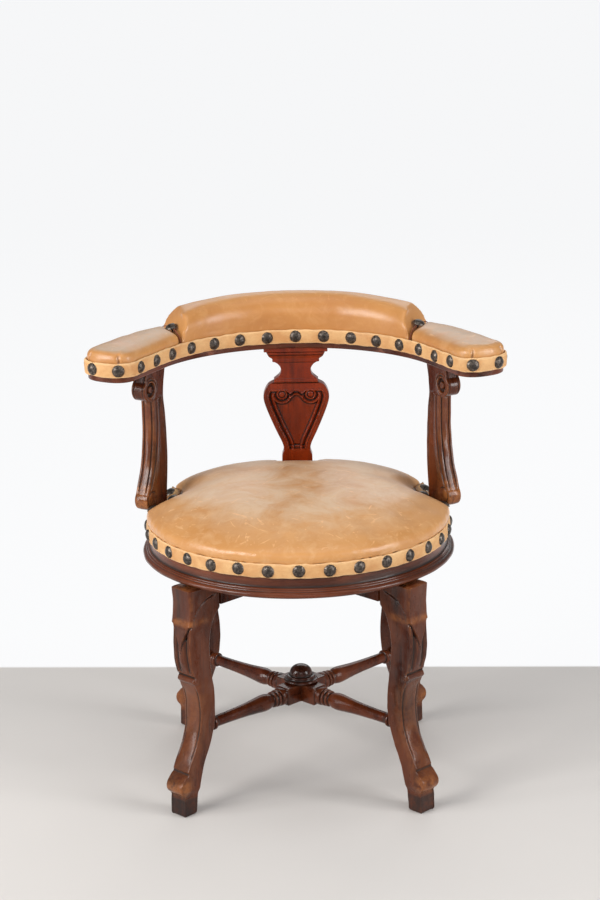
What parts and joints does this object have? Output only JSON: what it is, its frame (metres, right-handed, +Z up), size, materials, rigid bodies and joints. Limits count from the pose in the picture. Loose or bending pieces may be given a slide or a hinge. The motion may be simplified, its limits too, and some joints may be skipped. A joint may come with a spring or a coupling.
{
  "type": "swivel desk armchair",
  "caption": "Antique-style wooden swivel desk armchair with a round leather seat, horseshoe padded arm rail, shield splat, sawn legs and a turned cross stretcher.",
  "frame": {"origin": "on the floor under the seat's swivel axis, which is the middle of the chair's plan", "axes": "+Z up along the swivel axis; the chair faces -Y; +X is the sitter's left"},
  "size_m": [0.6912, 0.514, 0.77],
  "materials": {
    "polished_wood": "polished dark reddish brown mahogany, worn on the edges",
    "dark_wood": "polished near-black mahogany",
    "frame_wood": "bare beech",
    "iron": "blackened, oiled",
    "steel": "dull",
    "brass": "dull, worn",
    "jute": "coarse natural jute",
    "horsehair": "curled hair stuffing",
    "tan_leather": "tan, semi-gloss, worn pale on the seat",
    "trim_leather": "straw-coloured strip, matt",
    "bronzed_steel": "dark bronzed, half gloss"
  },
  "bodies": {
    "base": {"front_left_leg": "polished_wood", "front_right_leg": "polished_wood", "rear_left_leg": "polished_wood", "rear_right_leg": "polished_wood", "stretcher_lower": "polished_wood", "stretcher_upper": "polished_wood", "stretcher_finial": "dark_wood", "crossbar_lower": "frame_wood", "crossbar_upper": "frame_wood", "leg_wedges": "frame_wood", "glide_studs": "brass", "pivot_socket": "iron", "socket_screws": "steel"},
    "seat": {"spindle": "iron", "spindle_washer": "steel", "spindle_nut": "iron", "plate_screws": "steel", "seat_rail_lower": "frame_wood", "seat_rail_upper": "frame_wood", "seat_frame": "polished_wood", "seat_webbing": "jute", "seat_springs": "steel", "seat_hessian": "jute", "seat_stuffing": "horsehair", "seat_leather": "tan_leather", "seat_gimp": "trim_leather", "seat_nails": "bronzed_steel", "left_arm_support": "polished_wood", "right_arm_support": "polished_wood", "support_dowels": "frame_wood", "back_splat": "polished_wood", "back_rail": "polished_wood", "left_arm_rail": "polished_wood", "right_arm_rail": "polished_wood", "rail_dowels": "frame_wood", "rail_screws": "steel", "back_crest": "frame_wood", "crest_dowels": "frame_wood", "left_arm_stuffing": "horsehair", "right_arm_stuffing": "horsehair", "back_stuffing": "horsehair", "left_arm_leather": "tan_leather", "right_arm_leather": "tan_leather", "back_leather": "tan_leather", "arm_gimp": "trim_leather", "arm_nails": "bronzed_steel"}
  },
  "joints": [
    {"name": "seat_swivel", "type": "hinge", "parent": "base", "child": "seat", "pos_m": [0, 0, 0.37], "axis": [0, 0, 1], "continuous": true}
  ]
}
